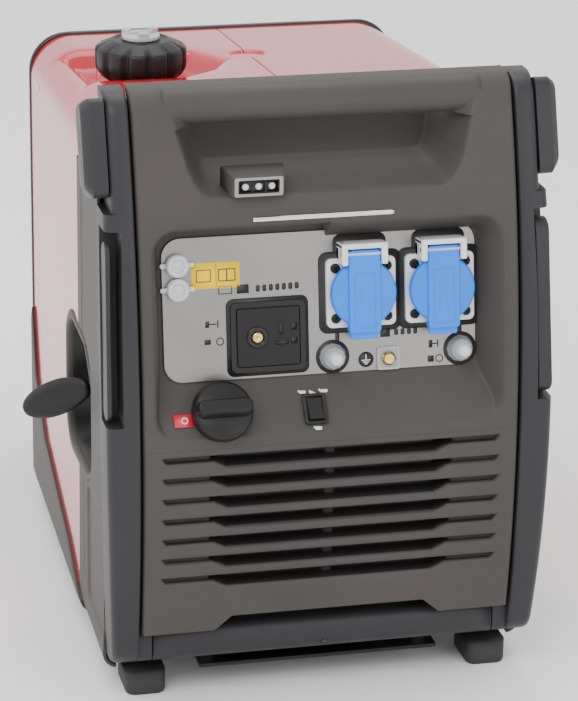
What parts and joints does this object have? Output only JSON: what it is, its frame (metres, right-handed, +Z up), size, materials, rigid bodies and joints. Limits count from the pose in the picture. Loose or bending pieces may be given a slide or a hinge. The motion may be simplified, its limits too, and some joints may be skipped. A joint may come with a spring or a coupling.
{
  "type": "portable generator",
  "caption": "Portable inverter generator in a red and grey casing with a front control panel, grip bar, pull starter and rear wheels.",
  "frame": {"origin": "on the floor, under the middle of the box that holds the whole part, starter grip and corner pads included", "axes": "+Z up, the control panel faces -Y, +X is to the right of someone facing the control panel"},
  "size_m": [0.4024, 0.6297, 0.498],
  "materials": {
    "panel_plastic": "fine-grained warm grey moulding",
    "frame_plastic": "satin cool dark grey moulding",
    "red_plastic": "glossy red moulding",
    "black_plastic": "black moulding",
    "rubber": "black rubber",
    "brushed_aluminium": "brushed along X",
    "zinc_steel": "zinc plated steel",
    "cast_aluminium": "sand cast",
    "white_plastic": "white moulding",
    "blue_plastic": "light blue moulding",
    "clear_plastic": "translucent clear moulding",
    "brass": "bright brass",
    "copper": "enamelled copper winding",
    "grey_metal": "light grey painted steel"
  },
  "bodies": {
    "root": {"front_panel": "panel_plastic", "left_pillar": "frame_plastic", "right_pillar": "frame_plastic", "cross_bar": "frame_plastic", "corner_pads": "frame_plastic", "left_surround": "panel_plastic", "right_surround": "panel_plastic", "left_cover": "red_plastic", "right_cover": "red_plastic", "left_skirt": "panel_plastic", "right_skirt": "panel_plastic", "rear_cover": "frame_plastic", "base_pan": "black_plastic", "front_feet": "rubber", "axle": "zinc_steel", "control_plate": "brushed_aluminium", "indicator_box": "panel_plastic", "indicator_lenses": "clear_plastic", "left_socket": "white_plastic", "right_socket": "white_plastic", "socket_screws": "black_plastic", "dc_outlet": "black_plastic", "earth_terminal": "clear_plastic", "earth_screw": "brass", "parallel_jacks": "black_plastic", "starter_bezel": "panel_plastic", "fuel_tank": "black_plastic", "engine_block": "cast_aluminium", "cylinder": "cast_aluminium", "spark_plug": "white_plastic", "carburettor": "cast_aluminium", "air_cleaner": "black_plastic", "fuel_hose": "rubber", "muffler": "zinc_steel", "tail_pipe": "zinc_steel", "stator": "copper", "starter_housing": "black_plastic", "inverter": "cast_aluminium", "engine_mounts": "rubber"},
    "fuel_cap": {"fuel_cap": "black_plastic"},
    "vent_lever": {"vent_lever": "white_plastic"},
    "plug_cover": {"plug_cover": "red_plastic"},
    "engine_switch": {"engine_switch": "black_plastic"},
    "eco_switch": {"eco_switch": "black_plastic"},
    "left_lid": {"left_lid": "blue_plastic"},
    "right_lid": {"right_lid": "blue_plastic"},
    "left_breaker": {"left_breaker": "clear_plastic"},
    "right_breaker": {"right_breaker": "clear_plastic"},
    "dc_breaker": {"dc_breaker": "brass"},
    "upper_jack_cap": {"upper_jack_cap": "clear_plastic"},
    "lower_jack_cap": {"lower_jack_cap": "clear_plastic"},
    "starter_grip": {"starter_grip": "black_plastic"},
    "starter_reel": {"starter_reel": "white_plastic"},
    "left_carry_handle": {"left_carry_handle": "grey_metal"},
    "right_carry_handle": {"right_carry_handle": "grey_metal"},
    "left_wheel": {"left_hub": "zinc_steel", "left_tyre": "rubber"},
    "right_wheel": {"right_hub": "zinc_steel", "right_tyre": "rubber"},
    "flywheel": {"flywheel": "cast_aluminium"}
  },
  "joints": [
    {"name": "fuel_cap_turn", "type": "hinge", "parent": "root", "child": "fuel_cap", "pos_m": [-0.08625, -0.018, 0.45305], "axis": [0, 0, 1], "range_deg": [0, 120]},
    {"name": "vent_lever_turn", "type": "hinge", "parent": "fuel_cap", "child": "vent_lever", "pos_m": [-0.08625, -0.018, 0.45305], "axis": [0, 0, 1], "range_deg": [0, 80]},
    {"name": "plug_cover_lift", "type": "slide", "parent": "root", "child": "plug_cover", "axis": [0, 0, 1], "range_m": [0, 0.04]},
    {"name": "engine_switch_turn", "type": "hinge", "parent": "root", "child": "engine_switch", "pos_m": [-0.07625, -0.29802, 0.24803], "axis": [0, -0.7986, 0.6018], "range_deg": [0, 90]},
    {"name": "eco_switch_rock", "type": "hinge", "parent": "root", "child": "eco_switch", "pos_m": [-0.00125, -0.29922, 0.24644], "axis": [1, 0, 0], "range_deg": [-8, 8]},
    {"name": "left_lid_open", "type": "hinge", "parent": "root", "child": "left_lid", "pos_m": [0.03975, -0.28443, 0.36745], "axis": [-1, 0, 0], "range_deg": [0, 105], "stiffness_Nm_per_rad": 0.02, "springref_deg": -34.38},
    {"name": "right_lid_open", "type": "hinge", "parent": "root", "child": "right_lid", "pos_m": [0.10375, -0.28443, 0.36745], "axis": [-1, 0, 0], "range_deg": [0, 105], "stiffness_Nm_per_rad": 0.02, "springref_deg": -34.38},
    {"name": "left_breaker_push", "type": "slide", "parent": "root", "child": "left_breaker", "axis": [0, 0.9877, -0.1564], "range_m": [0, 0.002], "stiffness_N_per_m": 400},
    {"name": "right_breaker_push", "type": "slide", "parent": "root", "child": "right_breaker", "axis": [0, 0.9877, -0.1564], "range_m": [0, 0.002], "stiffness_N_per_m": 400},
    {"name": "dc_breaker_push", "type": "slide", "parent": "root", "child": "dc_breaker", "axis": [0, 0.9877, -0.1564], "range_m": [0, 0.003], "stiffness_N_per_m": 300},
    {"name": "upper_jack_cap_pull", "type": "slide", "parent": "root", "child": "upper_jack_cap", "axis": [0, -0.9877, 0.1564], "range_m": [0, 0.025]},
    {"name": "lower_jack_cap_pull", "type": "slide", "parent": "root", "child": "lower_jack_cap", "axis": [0, -0.9877, 0.1564], "range_m": [0, 0.025]},
    {"name": "starter_pull", "type": "slide", "parent": "root", "child": "starter_grip", "axis": [-1, 0, 0], "range_m": [0, 0.45], "stiffness_N_per_m": 8},
    {"name": "starter_reel_turn", "type": "hinge", "parent": "root", "child": "starter_reel", "pos_m": [0.01475, -0.138, 0.185], "axis": [0, -1, 0], "range_deg": [0, 650]},
    {"name": "left_handle_fold", "type": "hinge", "parent": "root", "child": "left_carry_handle", "pos_m": [-0.16825, -0.29539, 0.258], "axis": [1, 0, 0], "range_deg": [0, 80]},
    {"name": "right_handle_fold", "type": "hinge", "parent": "root", "child": "right_carry_handle", "pos_m": [0.19175, -0.29539, 0.258], "axis": [1, 0, 0], "range_deg": [0, 80]},
    {"name": "left_wheel_spin", "type": "hinge", "parent": "root", "child": "left_wheel", "pos_m": [-0.12125, 0.235, 0.055], "axis": [1, 0, 0], "continuous": true},
    {"name": "right_wheel_spin", "type": "hinge", "parent": "root", "child": "right_wheel", "pos_m": [0.14475, 0.235, 0.055], "axis": [1, 0, 0], "continuous": true},
    {"name": "crankshaft_spin", "type": "hinge", "parent": "root", "child": "flywheel", "pos_m": [0.01475, 0.022, 0.185], "axis": [0, 1, 0], "continuous": true}
  ],
  "couplings": [
    {"joint": "starter_reel_turn", "follows": "starter_pull", "rad_per_m": 25}
  ]
}
